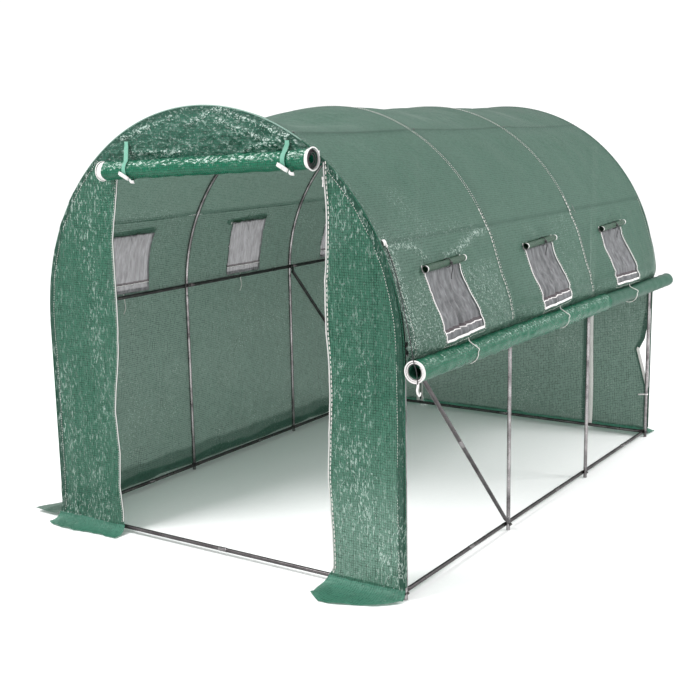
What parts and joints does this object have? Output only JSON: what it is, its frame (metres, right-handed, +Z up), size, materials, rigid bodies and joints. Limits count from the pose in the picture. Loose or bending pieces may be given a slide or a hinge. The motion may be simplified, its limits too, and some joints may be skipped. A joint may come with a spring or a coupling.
{
  "type": "polytunnel greenhouse",
  "caption": "Walk-in polytunnel greenhouse: bolted steel hoops under a green mesh-reinforced film cover with a rolled-up door, a rolled-up side, net windows and ground skirts.",
  "frame": {"origin": "on the ground, at the bottom centre of the whole object's box, skirts and side roll included; the middle of the steel frame is 54.85 mm towards +X from it", "axes": "+Z up, +Y along the tunnel from the door end to the rear end, +X to the right seen from the door, towards the rolled-up side"},
  "size_m": [2.3181, 3.3702, 2.0416],
  "materials": {
    "steel_tube": "galvanised steel tube, satin",
    "cover_film": "green polyethylene film over a woven scrim, glossy and slightly see-through",
    "rolled_film": "the same film rolled up in many layers, darker and glossy",
    "window_net": "fine pale grey insect net with white hems",
    "webbing": "pale green woven webbing",
    "buckle": "moulded white plastic",
    "white_cord": "white twisted cord",
    "black_cord": "black elastic cord"
  },
  "bodies": {
    "root": {"front_hoop": "steel_tube", "second_hoop": "steel_tube", "third_hoop": "steel_tube", "rear_hoop": "steel_tube", "front_ground_rail": "steel_tube", "rear_ground_rail": "steel_tube", "left_ground_rail": "steel_tube", "right_ground_rail": "steel_tube", "left_purlin": "steel_tube", "right_purlin": "steel_tube", "left_roof_purlin": "steel_tube", "right_roof_purlin": "steel_tube", "right_front_brace": "steel_tube", "left_rear_brace": "steel_tube", "roof_cover": "cover_film", "left_side_cover": "cover_film", "right_side_cover": "cover_film", "front_gable": "cover_film", "front_left_panel": "cover_film", "front_right_panel": "cover_film", "rear_gable": "cover_film", "rear_left_panel": "cover_film", "rear_right_panel": "cover_film", "rear_door": "cover_film", "left_skirt": "cover_film", "front_left_skirt": "cover_film", "front_right_skirt": "cover_film", "rear_skirt": "cover_film", "door_roll": "rolled_film", "left_door_strap": "webbing", "right_door_strap": "webbing", "strap_buckles": "buckle", "right_side_roll": "rolled_film", "side_roll_slings": "white_cord", "side_roll_cord": "black_cord", "hoop_clips": "steel_tube", "left_window_nets": "window_net", "right_window_nets": "window_net", "left_window_rolls": "cover_film", "right_window_rolls": "cover_film", "right_tie_1": "black_cord", "right_tie_2": "black_cord", "right_tie_3": "black_cord", "left_tie_1": "black_cord", "left_tie_2": "black_cord", "left_tie_3": "black_cord", "left_cord_1": "white_cord", "left_cord_2": "white_cord", "left_cord_3": "white_cord"}
  },
  "joints": []
}
